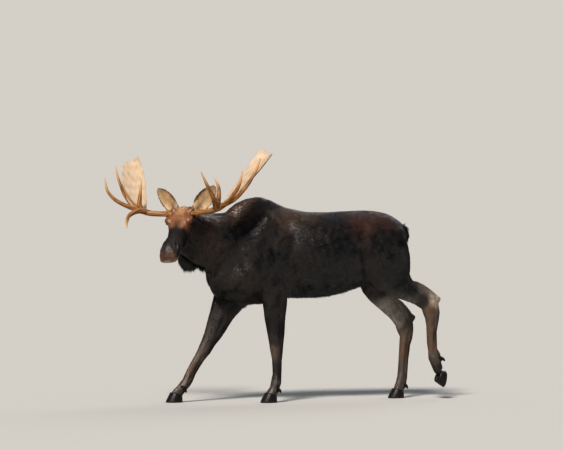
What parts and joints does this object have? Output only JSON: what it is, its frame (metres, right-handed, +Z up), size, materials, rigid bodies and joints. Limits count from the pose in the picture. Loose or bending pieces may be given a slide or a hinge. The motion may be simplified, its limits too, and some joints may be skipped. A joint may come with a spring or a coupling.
{
  "type": "moose",
  "caption": "Life-size standing bull moose in mid-stride with its head turned, palmate antlers, cupped ears, throat bell and cloven hooves.",
  "frame": {"origin": "on the floor, under the middle of the whole animal's bounding box", "axes": "+Z up; -Y is the animal's front, the way it walks; +X is its left side, the side its head is turned to"},
  "size_m": [1.3846, 3.282, 2.3308],
  "materials": {
    "coat": "short dense black-brown hair with a bluish sheen",
    "leg_coat": "short flat grey-brown hair",
    "mane": "long coarse black hair",
    "ear": "grey-cream hair inside, dark brown behind",
    "antler": "polished brown bone, paler and rougher on the palms",
    "hoof": "black horn, fine rings",
    "eye": "wet, nearly black"
  },
  "bodies": {
    "root": {"head": "coat", "neck": "coat", "bell": "mane", "trunk": "coat", "tail": "coat", "leg_front_left_upper": "coat", "leg_front_left_lower": "leg_coat", "leg_front_right_upper": "coat", "leg_front_right_lower": "leg_coat", "leg_hind_left_upper": "coat", "leg_hind_left_lower": "leg_coat", "leg_hind_right_upper": "coat", "leg_hind_right_lower": "leg_coat", "hoof_front_left_outer": "hoof", "hoof_front_left_inner": "hoof", "hoof_front_right_outer": "hoof", "hoof_front_right_inner": "hoof", "hoof_hind_left_outer": "hoof", "hoof_hind_left_inner": "hoof", "hoof_hind_right_outer": "hoof", "hoof_hind_right_inner": "hoof", "dewclaw_front_left_outer": "hoof", "dewclaw_front_left_inner": "hoof", "dewclaw_front_right_outer": "hoof", "dewclaw_front_right_inner": "hoof", "dewclaw_hind_left_outer": "hoof", "dewclaw_hind_left_inner": "hoof", "dewclaw_hind_right_outer": "hoof", "dewclaw_hind_right_inner": "hoof", "ear_left": "ear", "eye_left": "eye", "ear_right": "ear", "eye_right": "eye", "antler_left_beam": "antler", "antler_left_brow_tines": "antler", "antler_left_palm": "antler", "antler_right_beam": "antler", "antler_right_brow_tines": "antler", "antler_right_palm": "antler"}
  },
  "joints": []
}
